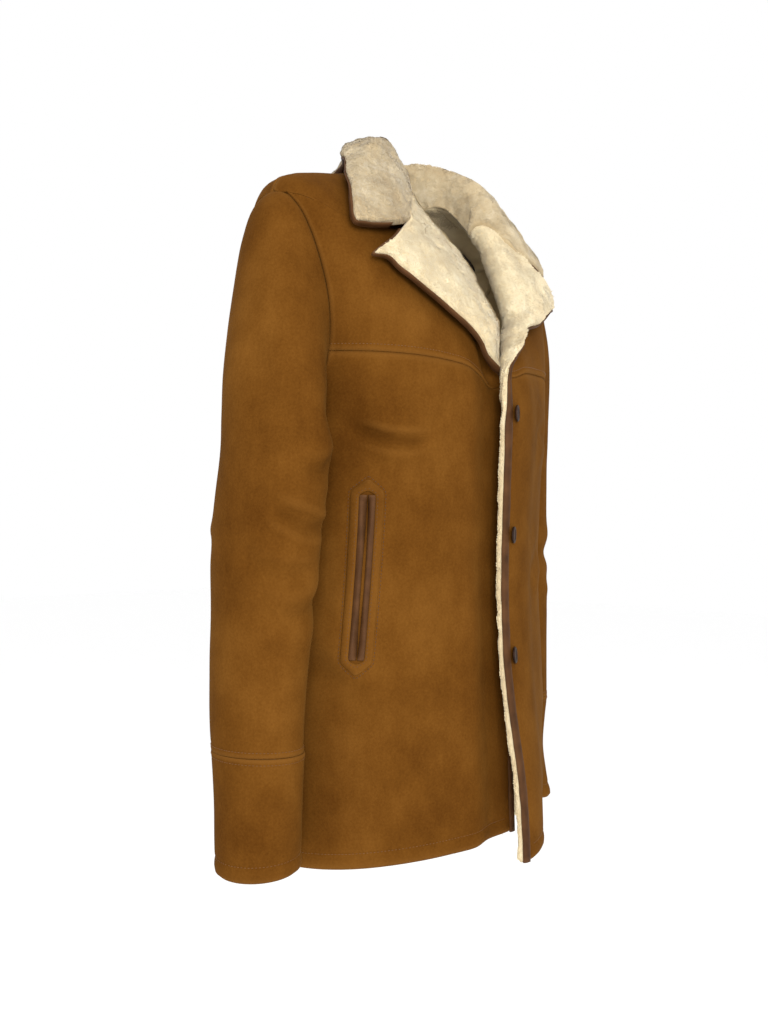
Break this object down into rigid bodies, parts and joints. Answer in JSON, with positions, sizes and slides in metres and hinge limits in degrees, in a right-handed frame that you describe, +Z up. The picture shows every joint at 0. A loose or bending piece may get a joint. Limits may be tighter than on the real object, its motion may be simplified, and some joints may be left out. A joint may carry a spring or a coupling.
{
  "type": "shearling coat",
  "caption": "Hip-length sheepskin coat filled out as worn: suede side out, fur inside, fur lapels and collar, bound edges, welt pockets.",
  "frame": {"origin": "the nape: where the collar is sewn to the back, level with the neck opening's middle, where the wearer's neck and shoulders hold the coat up", "axes": "+Z up, the wearer faces -Y, the wearer's right side is -X"},
  "size_m": [0.5734, 0.3098, 0.8031],
  "materials": {
    "tan_suede": "suede, napped, matt",
    "cream_fur": "clipped sheep's wool",
    "brown_leather": "smooth, slightly waxed",
    "dark_horn": "polished dark horn",
    "taupe_lining": "smooth, matt"
  },
  "bodies": {
    "root": {"back": "tan_suede", "back_lining": "taupe_lining", "binding_collar": "brown_leather", "binding_front_left": "brown_leather", "binding_front_right": "brown_leather", "button_1": "dark_horn", "button_2": "dark_horn", "button_3": "dark_horn", "collar": "cream_fur", "cuff_left": "tan_suede", "cuff_right": "tan_suede", "front_left_lower": "tan_suede", "front_left_yoke": "tan_suede", "front_right_lower": "tan_suede", "front_right_yoke": "tan_suede", "pocket_frame_left": "tan_suede", "pocket_frame_right": "tan_suede", "pocket_welt_left_back": "brown_leather", "pocket_welt_left_front": "brown_leather", "pocket_welt_right_back": "brown_leather", "pocket_welt_right_front": "brown_leather", "sleeve_left": "tan_suede", "sleeve_right": "tan_suede"}
  },
  "joints": []
}
